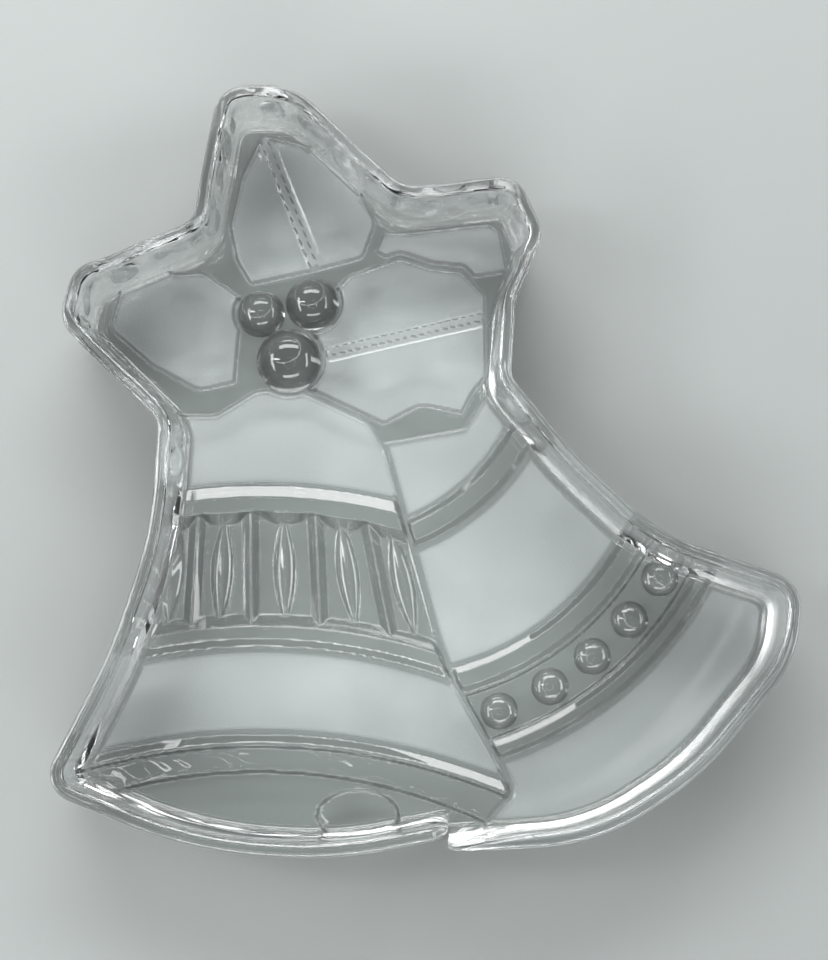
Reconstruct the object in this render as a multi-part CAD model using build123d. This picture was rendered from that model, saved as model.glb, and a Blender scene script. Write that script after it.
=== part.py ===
from build123d import *
import os
from math import asin, atan2, cos, degrees, hypot, radians, sin, sqrt, tan

# A pressed-glass sweet dish shaped as two overlapping bells under holly leaves.
# It lies flat on its underside, hollow side up. +X is to the right of the design, +Y runs from
# the mouths of the bells to the leaf tip, and Z = 0 is the surface that it rests on.
# The real dish is one piece of glass. Each moulded feature is a solid of its own here, the full
# thickness of the glass, so that the features meet face to face like tiles.

# Overall sizes, in millimetres
DISH_LENGTH = 212.0        # from the leaf tip to the lip of the left bell
RIM_HEIGHT = 28.0          # from the resting surface to the top of the rim

# The wall, measured inwards from the outer edge of the rim
RIM_WIDTH = 3.6            # top of the rim, outside to inside
WALL_DRAFT = 3.0           # how far the outside tapers in down to the resting surface
WALL_FOOT = 5.5            # where the wall meets the floor
FOOT_HEIGHT = 8.5          # top of the upright foot that the floor meets
RIM_ROUND = 1.5            # rounding of the rim's two edges
BASE_ROUND = 1.6           # rounding of the outer bottom edge

# Thickness of the glass floor at each kind of panel
LEAF_BED = 4.0
LEAF_PANEL = 6.0
LEFT_BELL = 5.5
RIGHT_BELL = 4.5
FLUTE_PANEL = 3.8
BEAD_PANEL = 3.2
MOUTH_PANEL = 3.5

# Raised features
BAND_RISE = 1.6            # bands above the bell that they cross
BEVEL = 45.0               # slope of a raised feature's sides, in degrees
LEAF_EDGE = 1.2            # height of the bevel round a leaf panel
VEIN_WIDTH = 3.2
VEIN_RISE = 1.2
BAR_WIDTH = 4.6            # V-shaped bars across the flute panel
BAR_RISE = 2.0
OLIVE_WIDTH = 6.6          # pointed olives between the bars
OLIVE_RISE = 1.7
BEAD_DIAMETER = 10.6
BEAD_RISE = 3.0
BERRY_RISE = 6.6
CLAPPER_LENGTH = 24.0
CLAPPER_WIDTH = 15.0
CLAPPER_RISE = 2.4
CLAPPER_EDGE = 1.0         # height of the clapper's upright edge

NOMINAL_LENGTH = 212.0     # the length that the plan's points below are given for
PLAN = DISH_LENGTH / NOMINAL_LENGTH

# Corners of the outer edge of the rim, clockwise from where the two lips meet: x, y, radius
RIM_CORNERS = {
    "lips_meet": (8.0, -97.5, 0),
    "left_lip_middle": (-24.0, -103.5, 120.0),
    "left_lip_outer": (-61.0, -101.0, 120.0),
    "left_corner": (-102.0, -84.5, 8.0),
    "left_side_low": (-84.0, -49.0, 150.0),
    "left_side_high": (-73.5, -17.0, 100.0),
    "left_shoulder": (-71.5, 14.5, 7.0),
    "left_leaf_low": (-99.5, 41.5, 9.0),
    "left_leaf_high": (-95.5, 56.5, 9.0),
    "left_leaf_notch": (-63.0, 70.0, 7.0),
    "top_leaf_left": (-56.5, 108.5, 10.0),
    "top_leaf_right": (-35.5, 108.5, 16.0),
    "top_leaf_notch": (-5.0, 79.5, 10.0),
    "right_leaf_high": (27.0, 83.0, 9.0),
    "right_leaf_tip": (34.0, 66.5, 10.0),
    "right_leaf_low": (26.0, 47.5, 20.0),
    "right_shoulder": (24.5, 27.0, 6.0),
    "right_side_high": (41.5, 5.5, 120.0),
    "right_side_low": (64.0, -16.0, 50.0),
    "right_corner": (103.0, -29.5, 10.0),
    "right_lip_outer": (100.5, -50.5, 32.0),
    "right_lip_middle": (75.0, -81.0, 80.0),
    "right_lip_inner": (47.0, -99.0, 60.0),
    "right_lip_tip": (6.5, -101.5, 0),
}

# Each wall piece, with the first and the last rim corner that it goes round
WALLS = {
    "left_bell_lip_wall": ("left_lip_middle", "left_corner"),
    "left_bell_side_wall": ("left_side_low", "left_side_high"),
    "left_leaf_wall": ("left_shoulder", "left_leaf_high"),
    "top_leaf_wall": ("left_leaf_notch", "top_leaf_right"),
    "right_leaf_wall": ("top_leaf_notch", "right_leaf_tip"),
    "right_shoulder_wall": ("right_leaf_low", "right_shoulder"),
    "right_bell_side_wall": ("right_side_high", "right_side_low"),
    "right_bell_lip_wall": ("right_corner", "right_lip_inner"),
}

# The berries' centres and diameters
BERRIES = [((-45.5, 48.5), 13.6), ((-31.0, 51.5), 15.2), ((-37.5, 35.0), 18.4)]

# The leaves' raised panels: x, y, corner radius
TOP_LEAF = [(-46, 102, 3), (-34.5, 99, 5), (-21, 91, 6), (-12, 75, 6), (-16, 64, 4),
            (-31, 60, 1), (-49, 56, 2), (-53.5, 64, 3), (-55.5, 74, 5), (-52.5, 88, 6)]
LEFT_LEAF = [(-89.5, 44, 5), (-86.5, 54.5, 5), (-78, 60, 5), (-62, 61.5, 6), (-50, 53, 3),
             (-52, 28, 2), (-63, 25.5, 6), (-76, 32.5, 4)]
UPPER_RIGHT_LEAF = [(-11, 73, 2), (-4, 73, 5), (22.5, 76, 5), (25.5, 60, 2), (13, 58, 3),
                    (-6, 62, 3), (-14, 66, 2)]
LOWER_RIGHT_LEAF = [(-33, 48, 1), (-21, 60, 4), (-6, 65.5, 5), (3, 62.5, 3), (12, 61.5, 3),
                    (19, 54, 3), (19, 30, 2), (15, 25, 2), (12, 19, 1), (0, 21.5, 6),
                    (-10.5, 16, 1), (-35, 27.5, 1)]
TOP_VEIN = ((-45.5, 100.0), (-29.0, 58.0))
RIGHT_VEIN = ((-28.5, 36.5), (21.0, 48.0))

# The clear leaf bed round the panels, and the pieces that it is divided into
LEAF_BEDS = [(-120, 120, 0), (60, 120, 0), (60, 27, 0), (19, 27, 0), (12, 16, 0), (-10.5, 12, 0),
             (-24, 24, 0), (-120, 10, 0)]
BED_ZONES = {
    "berry_bed": [(-45.5, 48.5, 0), (-31, 51.5, 0), (-27, 44, 0), (-37.5, 35, 0)],
    "left_leaf_bed": [(-38, 40, 0), (-60, 50, 0), (-78, 57, 0), (-120, 80, 0), (-120, 5, 0),
                      (-38, 5, 0)],
    "top_leaf_bed": [(-47, 46, 0), (-31, 51.5, 0), (-19, 66, 0), (-19, 130, 0),
                     (-130, 130, 0), (-130, 60, 0)],
    "right_leaf_bed": [(-60, 120, 0), (60, 120, 0), (60, 0, 0), (-60, 0, 0)],
}

# The left bell's outline over the right bell, and its bands, which bow about its own axis
LEFT_BELL_OUTLINE = [(-90, 20, 0), (-58, 20, 4), (-47, 27, 6), (-24, 28, 10), (-11, 14, 30),
                     (-4.5, -10.5, 60), (6.5, -50.5, 80), (26, -86, 4), (20, -92, 4),
                     (12, -110, 0), (-120, -120, 0)]
LEFT_AXIS = -45.0
UPPER_BAND = (-0.5, 160.0, 7.5)     # top of its bow, radius of the bow, width
LOWER_BAND = (-40.8, 165.0, 5.5)
RIM_BAND = (-69.8, 182.0, 4.5)
MOUTH_BOW = (-79.5, 150.0)          # top and radius of the open mouth's upper edge
BARS = [((-61.8, 5.0), (-64.9, -52.0)), ((-48.1, 5.0), (-47.2, -52.0)),
        ((-30.4, 5.0), (-27.5, -52.0)), ((-17.6, 2.0), (-6.4, -54.0))]
OLIVES = [((-68.3, -9.5), (-70.9, -40.5)), ((-55.1, -9.0), (-56.4, -40.5)),
          ((-38.5, -8.5), (-38.0, -40.0)), ((-22.8, -9.6), (-18.2, -41.5)),
          ((-8.4, -13.0), (-1.6, -43.5))]
CLAPPER_PLACE = (-17.5, -92.5)

# The right bell: its crown band bows about one centre, and its lower bands about another
CROWN_CENTRE = (-26.0, 43.0)
CROWN_BAND = (57.5, 66.0)           # inner and outer radius
BELL_CENTRE = (-10.0, 21.0)
UPPER_RIDGE = (75.0, 83.0)
LOWER_RIDGE = (97.5, 103.5)
BEAD_ROW = 90.5
BEAD_ANGLES = (-69.5, -59.5, -50.3, -41.0, -31.8)

BEYOND = 400.0             # past the dish on every side, for cutting tools


def at(x, y):
    """A point of the plan, at the dish's real length."""
    return (x * PLAN, y * PLAN)


def outline(corners):
    """The flat area inside rounded corners, facing up."""
    radii = [r * PLAN for _, _, r in corners]
    edge = FilletPolyline(*[at(x, y) for x, y, _ in corners], radius=radii, close=True)
    area = make_face(edge).face()
    return Sketch() + (area if area.normal_at().Z > 0 else -area)


def disc(centre, radius):
    return Pos(*at(*centre)) * Circle(radius * PLAN)


def between(centre, radii):
    return disc(centre, radii[1]) - disc(centre, radii[0])


def below_bow(top, radius):
    """Everything on the mouth side of an arc that bows across the left bell."""
    return disc((LEFT_AXIS, top - radius), radius)


def along(start, end):
    """Where a straight feature lies, with X along it, and its length."""
    (x0, y0), (x1, y1) = at(*start), at(*end)
    turn = degrees(atan2(y1 - y0, x1 - x0))
    return Pos((x0 + x1) / 2, (y0 + y1) / 2) * Rot(0, 0, turn), hypot(x1 - x0, y1 - y0)


# ---- the wall ----


def rim_path(first, last):
    """The rim's outer edge round the corners from first to last. It runs from the middle of
    the side before the first to the middle of the side after the last, or to a loose end."""
    names = list(RIM_CORNERS)
    i, j = names.index(first), names.index(last)
    corners = [Vector(*at(x, y)) for x, y, _ in RIM_CORNERS.values()]
    start = corners[0] if i == 1 else (corners[i - 1] + corners[i]) / 2
    end = corners[-1] if j == len(names) - 2 else (corners[j] + corners[j + 1]) / 2
    radii = [RIM_CORNERS[name][2] * PLAN for name in names[i:j + 1]]
    return FilletPolyline(start, *corners[i:j + 1], end, radius=radii)


def wall_section():
    """The wall's cross-section, with X inwards from the rim's outer edge and Y up."""
    section = make_face(Polyline((WALL_DRAFT, 0), (WALL_FOOT, 0), (WALL_FOOT, FOOT_HEIGHT),
                                 (RIM_WIDTH, RIM_HEIGHT), (0, RIM_HEIGHT), close=True))
    rim = section.vertices().sort_by(Axis.Y)[-2:]
    section = fillet(rim, RIM_ROUND)
    base = section.vertices().sort_by(Axis.Y)[:2].sort_by(Axis.X)[0]
    return fillet(base, BASE_ROUND)


def wall_band():
    """The part of the plan that a wall covers, as a thin section to sweep."""
    return make_face(Polyline((-WALL_DRAFT, 0), (WALL_FOOT, 0), (WALL_FOOT, WALL_DRAFT),
                              (-WALL_DRAFT, WALL_DRAFT), close=True))


def along_rim(section, first, last):
    path = rim_path(first, last)
    ahead = path % 0
    inwards = Vector(ahead.Y, -ahead.X, 0)
    plane = Plane(path @ 0, x_dir=inwards, z_dir=-ahead)
    return sweep(plane * section, path=path)


def dish_floor(walls):
    """The floor's area: everything inside the walls' upright feet."""
    area = outline(RIM_CORNERS.values())
    for corners in walls.values():
        band = along_rim(wall_band(), *corners)
        area -= band.faces().sort_by(Axis.Z)[0]
    return area.faces().sort_by(SortBy.AREA)[-1]


# ---- floor tiles ----


class Floor:
    """The floor inside the walls. Each feature takes its area from what is left."""

    def __init__(self, area):
        self.left = Sketch() + area.faces()

    def take(self, area):
        taken = Sketch() + (self.left & area).faces()
        self.left = Sketch() + (self.left - area).faces()
        return taken


def bevelled(area, whole, height, edge):
    """A tile cut from a whole shape whose top edges slope over the last part of its height."""
    underside = Sketch() + [-face for face in whole.faces()]
    slope = extrude(Pos(0, 0, height - edge) * underside, edge, dir=(0, 0, 1), taper=BEVEL)
    return extrude(area, height) & (extrude(whole, height - edge) + slope)


def band(area, centre, radii, base):
    """A tile with a raised ring on it, sloped along both of its sides."""
    inner, outer = radii[0] * PLAN, radii[1] * PLAN
    top = base + BAND_RISE
    run = BAND_RISE / tan(radians(BEVEL))
    section = make_face(Polyline((inner, 0), (outer, 0), (outer, base), (outer - run, top),
                                 (inner + run, top), (inner, base), close=True))
    ring = Pos(*at(*centre)) * revolve(Plane.XZ * section, Axis.Z)
    return extrude(area, top) & ring


def gable(area, place, length, width, base, rise):
    """A tile with a roof: a ridge along its place, and level with its base at both sides."""
    side = width / 2
    section = make_face(Polyline((-side, 0), (side, 0), (side, base), (0, base + rise),
                                 (-side, base), close=True))
    plane = Plane(origin=(-length, 0, 0), x_dir=(0, 1, 0), z_dir=(1, 0, 0))
    return extrude(area, base + rise) & place * extrude(plane * section, 2 * length)


def dome(centre, diameter, base, rise):
    """A round dome on a stem that goes down to the resting surface."""
    side = diameter / 2
    ball = (side ** 2 + rise ** 2) / (2 * rise)
    middle = ball * sin(asin(side / ball) / 2)
    top = base + rise
    half_section = make_face([
        Line((0, 0), (side, 0)), Line((side, 0), (side, base)),
        ThreePointArc((side, base), (middle, top - ball + sqrt(ball ** 2 - middle ** 2)), (0, top)),
        Line((0, top), (0, 0))])
    return Pos(*at(*centre)) * revolve(Plane.XZ * half_section, Axis.Z)


def lens(length, width):
    """The plan of a pointed olive."""
    side = width / 2
    tip = length / 2
    return make_face([ThreePointArc((-tip, 0), (0, side), (tip, 0)),
                      ThreePointArc((tip, 0), (0, -side), (-tip, 0))])


def olive(area, place, length, width, base, rise):
    """A pointed boss, rounded both along and across."""
    side = width / 2
    top = base + rise
    across = (side ** 2 + rise ** 2) / (2 * rise)
    lengthways = ((length / 2) ** 2 + rise ** 2) / (2 * rise)
    barrel = Pos(0, 0, top - across) * Rot(0, 90, 0) * Cylinder(across, 2 * length)
    arch = Pos(0, 0, top - lengthways) * Rot(90, 0, 0) * Cylinder(lengthways, 2 * length)
    crown = extrude(Pos(0, 0, base) * Rectangle(length, width), rise) & barrel & arch
    slab = extrude(Rectangle(length, width), base)
    return extrude(area, top) & place * (crown + slab)


def clapper(area, place):
    """An oval boss with an upright edge and a gently domed top."""
    top = MOUTH_PANEL + CLAPPER_RISE
    rise = CLAPPER_RISE - CLAPPER_EDGE
    ball = ((CLAPPER_LENGTH / 2) ** 2 + rise ** 2) / (2 * rise)
    return extrude(area, top) & place * Pos(0, 0, top - ball) * Sphere(ball)


def build():
    """Every node of the dish, by name."""
    pieces = {name: along_rim(wall_section(), *corners) for name, corners in WALLS.items()}
    pieces["right_bell_lip_wall"] -= pieces["left_bell_lip_wall"]
    floor = Floor(dish_floor(WALLS))

    earlier = []
    for number, (centre, diameter) in enumerate(BERRIES, 1):
        berry = dome(centre, diameter * PLAN, LEAF_BED, BERRY_RISE)
        floor.take(disc(centre, diameter / 2))
        for other in earlier:
            berry -= extrude(other, LEAF_BED + BERRY_RISE)
        earlier.append(disc(centre, diameter / 2))
        pieces[f"berry_{number}"] = berry

    for name, vein, panel in (("top_leaf", TOP_VEIN, TOP_LEAF),
                              ("lower_right_leaf", RIGHT_VEIN, LOWER_RIGHT_LEAF)):
        place, length = along(*vein)
        area = floor.take(outline(panel) & place * Rectangle(2 * length, VEIN_WIDTH))
        pieces[name + "_vein"] = gable(area, place, length, VEIN_WIDTH, LEAF_PANEL, VEIN_RISE)
        half = Rectangle(BEYOND, BEYOND)
        for side, name_of_side in ((1, "_left_half"), (-1, "_right_half")):
            area = floor.take(outline(panel) & place * Pos(0, side * BEYOND / 2) * half)
            pieces[name + name_of_side] = extrude(area, LEAF_PANEL)
    for name, panel in (("left_leaf", LEFT_LEAF), ("upper_right_leaf", UPPER_RIGHT_LEAF)):
        whole = outline(panel)
        pieces[name + "_panel"] = bevelled(floor.take(whole), whole, LEAF_PANEL, LEAF_EDGE)

    left_bell = Floor(floor.take(outline(LEFT_BELL_OUTLINE)))
    beds = Floor(floor.take(outline(LEAF_BEDS)))
    left_bell_tiles(pieces, left_bell)
    right_bell_tiles(pieces, Floor(floor.left))
    for name, zone in BED_ZONES.items():
        pieces[name] = extrude(beds.take(outline(zone)), LEAF_BED)
    return pieces


def left_bell_tiles(pieces, bell):
    """From the crown down to the mouth, each tile taking what lies below the next band."""
    for name, (top, radius, width) in (("left_bell_upper_band", UPPER_BAND),
                                       ("left_bell_lower_band", LOWER_BAND),
                                       ("left_bell_rim_band", RIM_BAND)):
        centre, radii = (LEFT_AXIS, top - radius), (radius - width, radius)
        pieces[name] = band(bell.take(between(centre, radii)), centre, radii, LEFT_BELL)
    mouth = Floor(bell.take(below_bow(*MOUTH_BOW)))
    place = Pos(*at(*CLAPPER_PLACE))
    area = mouth.take(place * Ellipse(CLAPPER_LENGTH / 2, CLAPPER_WIDTH / 2))
    pieces["left_bell_clapper"] = clapper(area, place)
    pieces["left_bell_mouth"] = extrude(mouth.left, MOUTH_PANEL)
    pieces["left_bell_lip_margin"] = extrude(bell.take(below_bow(*RIM_BAND[:2])), LEFT_BELL)
    pieces["left_bell_skirt"] = extrude(bell.take(below_bow(*LOWER_BAND[:2])), LEFT_BELL)
    flutes = Floor(bell.take(below_bow(*UPPER_BAND[:2])))
    for number, (start, end) in enumerate(BARS, 1):
        place, length = along(start, end)
        area = flutes.take(place * Rectangle(length, BAR_WIDTH))
        pieces[f"flute_bar_{number}"] = gable(area, place, length, BAR_WIDTH, FLUTE_PANEL,
                                              BAR_RISE)
    for number, (start, end) in enumerate(OLIVES, 1):
        place, length = along(start, end)
        area = flutes.take(place * lens(length, OLIVE_WIDTH))
        pieces[f"flute_olive_{number}"] = olive(area, place, length, OLIVE_WIDTH, FLUTE_PANEL,
                                                OLIVE_RISE)
    for number, (start, end) in enumerate(BARS, 1):
        place, _ = along(start, end)
        left_of_bar = place * Pos(0, -BEYOND / 2) * Rectangle(BEYOND, BEYOND)
        pieces[f"flute_panel_{number}"] = extrude(flutes.take(left_of_bar), FLUTE_PANEL)
    pieces[f"flute_panel_{len(BARS) + 1}"] = extrude(flutes.left, FLUTE_PANEL)
    pieces["left_bell_crown"] = extrude(bell.left, LEFT_BELL)


def right_bell_tiles(pieces, bell):
    """From the crown out to the lip, in rings."""
    for name, centre, radii in (("right_bell_crown_band", CROWN_CENTRE, CROWN_BAND),
                                ("right_bell_upper_ridge", BELL_CENTRE, UPPER_RIDGE),
                                ("right_bell_lower_ridge", BELL_CENTRE, LOWER_RIDGE)):
        pieces[name] = band(bell.take(between(centre, radii)), centre, radii, RIGHT_BELL)
    pieces["right_bell_crown"] = extrude(bell.take(disc(CROWN_CENTRE, CROWN_BAND[0])), RIGHT_BELL)
    pieces["right_bell_waist"] = extrude(bell.take(disc(BELL_CENTRE, UPPER_RIDGE[0])), RIGHT_BELL)
    beads = Floor(bell.take(disc(BELL_CENTRE, LOWER_RIDGE[0])))
    for number, angle in enumerate(BEAD_ANGLES, 1):
        centre = (BELL_CENTRE[0] + BEAD_ROW * cos(radians(angle)),
                  BELL_CENTRE[1] + BEAD_ROW * sin(radians(angle)))
        beads.take(Pos(*at(*centre)) * Circle(BEAD_DIAMETER / 2))
        bead = dome(centre, BEAD_DIAMETER, BEAD_PANEL, BEAD_RISE)
        clear_of_wall = bead - pieces["right_bell_side_wall"]
        pieces[f"bead_{number}"] = clear_of_wall.solids().sort_by(SortBy.VOLUME)[-1]
    pieces["right_bell_bead_panel"] = extrude(beads.left, BEAD_PANEL)
    pieces["right_bell_skirt"] = extrude(bell.left, RIGHT_BELL)


os.makedirs("parts", exist_ok=True)
pieces = build()
boxes = [shape.bounding_box() for shape in pieces.values()]
middle_x = (min(box.min.X for box in boxes) + max(box.max.X for box in boxes)) / 2
middle_y = (min(box.min.Y for box in boxes) + max(box.max.Y for box in boxes)) / 2
for name, shape in pieces.items():
    export_step(Pos(-middle_x, -middle_y, 0) * shape, f"parts/{name}.step")
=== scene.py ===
"""The look of a pressed-glass sweet dish: two overlapping bells under holly leaves and berries.

Every CAD node is replaced by a closed piece of the same plan, but the two lip walls run out to
rounded ends. The floor pieces share one smooth relief and the wall pieces share one swept section.
The faces where two pieces meet are fully transparent, as the real dish is one pressing. Steep
facets have painted shade: the glass colour is darker there, standing in for the light they bend
aside, so that the relief reads over a pale floor. Lengths are in millimetres until a mesh is made.
"""
import math

import bpy
import numpy as np
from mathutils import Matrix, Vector
from mathutils.geometry import delaunay_2d_cdt


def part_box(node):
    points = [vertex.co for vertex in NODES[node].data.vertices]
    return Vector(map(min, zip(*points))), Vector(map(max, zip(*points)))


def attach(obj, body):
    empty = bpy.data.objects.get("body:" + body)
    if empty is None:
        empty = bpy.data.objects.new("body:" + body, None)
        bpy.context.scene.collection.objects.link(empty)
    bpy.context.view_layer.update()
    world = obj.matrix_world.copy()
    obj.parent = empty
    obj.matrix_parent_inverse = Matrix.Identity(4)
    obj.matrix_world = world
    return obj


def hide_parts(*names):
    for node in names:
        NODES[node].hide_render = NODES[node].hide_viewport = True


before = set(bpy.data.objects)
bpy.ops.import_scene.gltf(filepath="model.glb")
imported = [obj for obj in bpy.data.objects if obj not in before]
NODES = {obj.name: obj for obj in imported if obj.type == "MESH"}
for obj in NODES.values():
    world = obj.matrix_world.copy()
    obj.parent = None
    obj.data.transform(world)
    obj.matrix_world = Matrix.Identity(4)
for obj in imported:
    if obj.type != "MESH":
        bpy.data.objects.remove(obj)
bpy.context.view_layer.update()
MM = 0.001

# ---- sizes, as in the CAD part, but with bolder bars and olives, and lower veins ----

RIM_HEIGHT = 28.0
RIM_WIDTH = 3.6
WALL_DRAFT = 3.0
WALL_FOOT = 5.5
RIM_ROUND = 1.5
BASE_ROUND = 1.6
LEFT_END = 6.0          # how much of the left lip's loose end rounds off
RIGHT_END = 24.0        # how much of the right lip's loose end tapers
RIGHT_ROUNDING = 7.0    # how much of its tip is rounded
TIP_INSET = 1.8         # how far its tip is in from the rim line, and how much of it is all wall
LEAF_BED = 4.0
LEAF_PANEL = 6.0
LEFT_BELL = 5.5
RIGHT_BELL = 4.5
FLUTE_PANEL = 3.8
BEAD_PANEL = 3.2
MOUTH_PANEL = 3.5
BAND_RISE = 1.6
VEIN_WIDTH = 3.2
VEIN_RISE = 1.0
BAR_WIDTH = 4.8
BAR_RISE = 2.3
OLIVE_WIDTH = 6.6
OLIVE_RISE = 1.9
BEAD_RADIUS = 5.3
BEAD_RISE = 3.0
BERRY_RISE = 6.6
CLAPPER_HALF_LENGTH = 12.0
CLAPPER_HALF_WIDTH = 7.5
CLAPPER_RISE = 2.4

# ---- widths and heights that only the look has ----

COVE = 3.0              # radius of the cove where the floor meets the wall
COVE_OVERLAP = 0.35     # how far the cove is short of the wall's foot
OUTER_FACET = 1.2       # facet from the leaf bed up to the bells
LAP_FACET = 1.9         # facet where the left bell laps over the right one
BESIDE_LAP = 1.5        # where the right bell's relief fades out beside it
BAND_BLEND = 0.12       # share of a crisp facet's width that is rounded, at its foot and its brow
MOUTH_BLEND = 0.15
BEVEL_BLEND = 0.1
RIDGE_FACET = 2.2
BEAD_PANEL_FACET = 1.2
MOUTH_FACET = 1.7
LOWER_BEVEL = 4.4       # bevel between the flutes and the lower band
MARGIN_FACETS = (2.0, 1.5)      # where the uneven glass fades out, by the rim band and the mouth
FLOW_RISE = 0.3         # how uneven the glass between the rim band and the mouth is
CLAPPER_FACET = 0.12    # share of the clapper's half size
CLAPPER_SAG = 0.35      # share of the clapper's height that is lost at its edge
SKIRT_SWELL = 0.5
LEFT_SKIRT = 24.0       # how wide each swell is
RIGHT_SKIRT = 20.0
SCALLOP_LEAST = 1.4     # facet under the upper band, at a bar
SCALLOP_MORE = 2.9      # what it gains beside an olive
SCALLOP_REACH = 6.5
ROOF_SHARE = 0.35       # share of an olive's height that is a sharp roof, above a rounded body
LEAF_FACET = 1.8
PUFF = 0.6              # how far a leaf's panel swells, and from how far inside its edge
PUFF_REACH = 6.0
RIPPLE = 0.07
RIPPLE_FADE = 4.0
GROOVE = 0.5            # depth of the groove on both sides of a vein
GROOVE_SIDE = 3.4       # half width of the groove, and the width of its slope
GROOVE_FACET = 1.8
VEIN_FACET = 0.9
VEIN_EDGE = 2.0         # where a vein fades out, by the edge of the leaf and at its own ends
VEIN_END = 3.0
BURIED = -9.0           # a height that is under every surface
FAR = 1e9

# Corners of the rim's outer edge, clockwise from where the lips meet: x, y, radius
RIM_CORNERS = [
    (8.0, -97.5, 0), (-24.0, -103.5, 120.0), (-61.0, -101.0, 120.0), (-102.0, -84.5, 8.0),
    (-84.0, -49.0, 150.0), (-73.5, -17.0, 100.0), (-71.5, 14.5, 7.0), (-99.5, 41.5, 9.0),
    (-95.5, 56.5, 9.0), (-63.0, 70.0, 7.0), (-56.5, 108.5, 10.0), (-35.5, 108.5, 16.0),
    (-5.0, 79.5, 10.0), (27.0, 83.0, 9.0), (34.0, 66.5, 10.0), (26.0, 47.5, 20.0),
    (24.5, 27.0, 6.0), (41.5, 5.5, 120.0), (64.0, -16.0, 50.0), (103.0, -29.5, 10.0),
    (100.5, -50.5, 32.0), (75.0, -81.0, 80.0), (47.0, -99.0, 60.0), (6.5, -101.5, 0)]
# Each wall, with its first and last rim corner and how lumpy its inside is
WALLS = {
    "left_bell_lip_wall": (1, 3, 0.0), "left_bell_side_wall": (4, 5, 0.0),
    "left_leaf_wall": (6, 8, 1.0), "top_leaf_wall": (9, 11, 1.0),
    "right_leaf_wall": (12, 14, 1.0), "right_shoulder_wall": (15, 16, 0.5),
    "right_bell_side_wall": (17, 18, 0.0), "right_bell_lip_wall": (19, 22, 0.0)}

BERRIES = [((-45.5, 48.5), 6.8), ((-31.0, 51.5), 7.6), ((-37.5, 35.0), 9.2)]
LEAVES = {
    "top_leaf": ("top_leaf_left_half", "top_leaf_vein", "top_leaf_right_half"),
    "lower_right_leaf": ("lower_right_leaf_left_half", "lower_right_leaf_vein",
                         "lower_right_leaf_right_half"),
    "left_leaf": ("left_leaf_panel",),
    "upper_right_leaf": ("upper_right_leaf_panel",)}
VEINS = {"top_leaf": ((-45.5, 100.0), (-29.0, 58.0)),
         "lower_right_leaf": ((-28.5, 36.5), (21.0, 48.0)),
         "left_leaf": ((-88.0, 46.0), (-50.0, 40.0)),
         "upper_right_leaf": ((-14.0, 70.0), (24.0, 69.0))}

LEFT_AXIS = -45.0
NO_FACET = 1e-3                     # the band goes straight on into the flutes
UPPER_BAND = (-0.5, 160.0, 7.5)     # top of its bow, radius of the bow, width
LOWER_BAND = (-40.8, 165.0, 5.5)
RIM_BAND = (-69.8, 182.0, 4.5)
MOUTH_BOW = (-79.5, 150.0)
# Each band, and how wide its sloping upper and lower facets are
BAND_FACETS = ((UPPER_BAND, 3.9, NO_FACET), (LOWER_BAND, NO_FACET, 3.0), (RIM_BAND, 3.0, 1.2))
BARS = [((-61.8, 5.0), (-64.9, -52.0)), ((-48.1, 5.0), (-47.2, -52.0)),
        ((-30.4, 5.0), (-27.5, -52.0)), ((-17.6, 2.0), (-6.4, -54.0))]
OLIVES = [((-68.3, -9.5), (-70.9, -40.5)), ((-55.1, -9.0), (-56.4, -40.5)),
          ((-38.5, -8.5), (-38.0, -40.0)), ((-22.8, -9.6), (-18.2, -41.5)),
          ((-8.4, -13.0), (-1.6, -43.5))]
CLAPPER_PLACE = (-17.5, -92.5)

CROWN_CENTRE = (-26.0, 43.0)
CROWN_BAND = (57.5, 66.0)
BELL_CENTRE = (-10.0, 21.0)
UPPER_RIDGE = (75.0, 83.0)
LOWER_RIDGE = (97.5, 103.5)
BEAD_ROW = 90.5
BEAD_ANGLES = (-69.5, -59.5, -50.3, -41.0, -31.8)
BEADS = [(BELL_CENTRE[0] + BEAD_ROW * math.cos(math.radians(a)),
          BELL_CENTRE[1] + BEAD_ROW * math.sin(math.radians(a))) for a in BEAD_ANGLES]

# The CAD part is centred on its own box. This is where the plan's own origin went.
berry_low, berry_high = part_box("berry_3")
SHIFT = np.array([(berry_low[i] + berry_high[i]) / 2 / MM - BERRIES[2][0][i] for i in (0, 1)])

FINE = 0.6        # spacing of relief points
PLAIN = 1.1       # spacing on the gently domed panels
ALONG_RIM = 0.7
EDGE_STEP = 0.6

FROSTED = {
    "top_leaf_left_half", "top_leaf_vein", "top_leaf_right_half", "left_leaf_panel",
    "upper_right_leaf_panel", "lower_right_leaf_left_half", "lower_right_leaf_vein",
    "lower_right_leaf_right_half", "left_bell_crown", "left_bell_skirt", "right_bell_crown",
    "right_bell_waist", "right_bell_skirt"}


# ---- plan geometry ----


def bottom_outline(node):
    """The boundary of a CAD tile's resting face, as rows of x0, y0, x1, y1 in plan millimetres."""
    mesh = node.data
    points = np.array([v.co for v in mesh.vertices]) / MM
    mesh.calc_loop_triangles()
    seen = {}
    for triangle in mesh.loop_triangles:
        corners = [points[i] for i in triangle.vertices]
        if max(c[2] for c in corners) > 0.02:
            continue
        keys = [(round(c[0], 3), round(c[1], 3)) for c in corners]
        if len(set(keys)) < 3:
            continue
        for a, b in zip(keys, keys[1:] + keys[:1]):
            pair = (min(a, b), max(a, b))
            seen[pair] = seen.get(pair, 0) + 1
    rows = np.array([[*a, *b] for (a, b), count in seen.items() if count == 1])
    return rows - np.array([*SHIFT, *SHIFT])


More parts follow.
